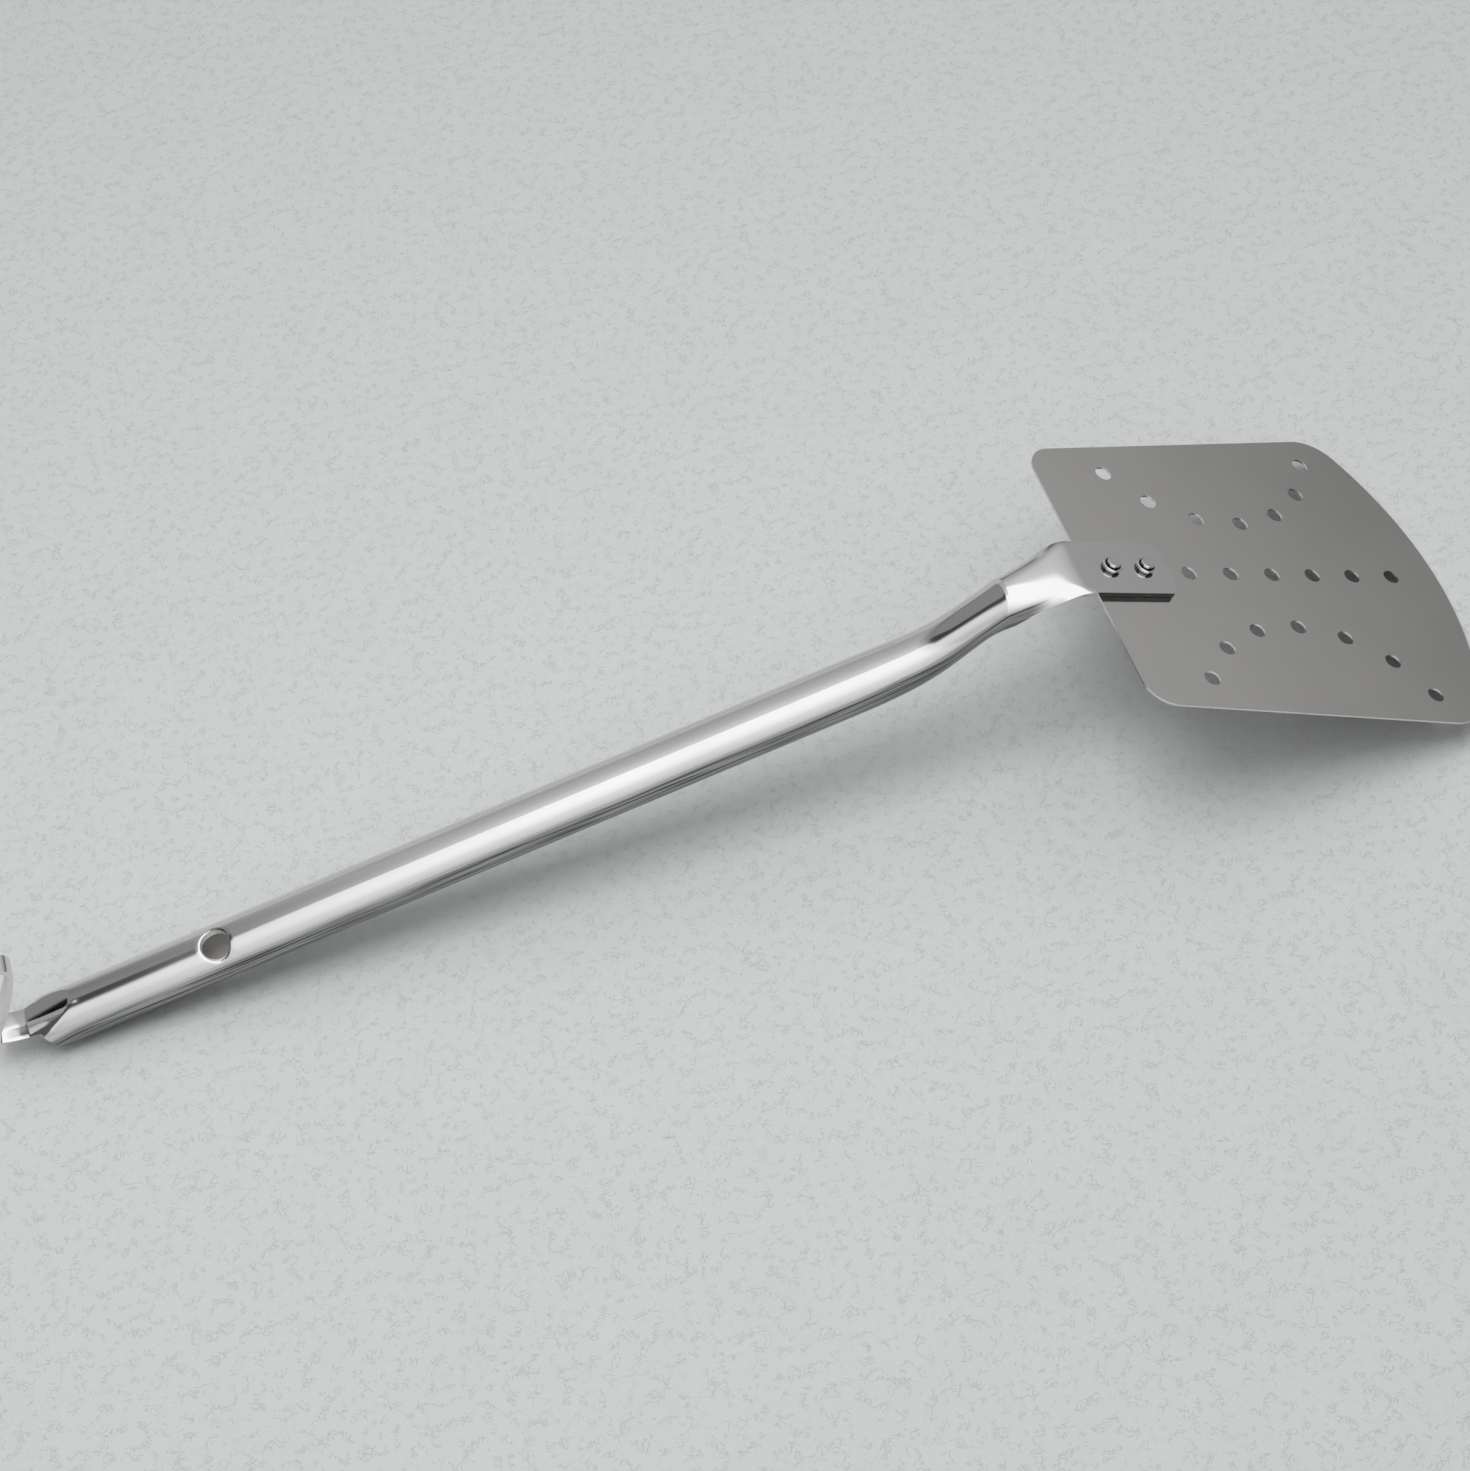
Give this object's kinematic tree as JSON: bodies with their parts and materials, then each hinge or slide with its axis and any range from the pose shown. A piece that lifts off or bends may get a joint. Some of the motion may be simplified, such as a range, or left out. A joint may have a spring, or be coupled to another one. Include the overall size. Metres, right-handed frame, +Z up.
{
  "type": "spatula",
  "caption": "Perforated stainless-steel spatula: a flat, flared blade with round holes, riveted to a long rolled-tube handle with a hang hole and an end hook.",
  "frame": {"origin": "middle of the bounding box at table level, with the spatula lying face down on the front of its blade and the tail of its handle", "axes": "+X along the spatula from the hook to the front of the blade, +Y to the left of someone looking along +X, +Z up"},
  "size_m": [0.4422, 0.1132, 0.0645],
  "materials": {
    "blade_steel": "polished",
    "handle_steel": "mirror polished",
    "rivet_steel": "polished"
  },
  "bodies": {
    "root": {"blade": "blade_steel", "handle": "handle_steel", "rivet_rear": "rivet_steel", "rivet_front": "rivet_steel"}
  },
  "joints": []
}
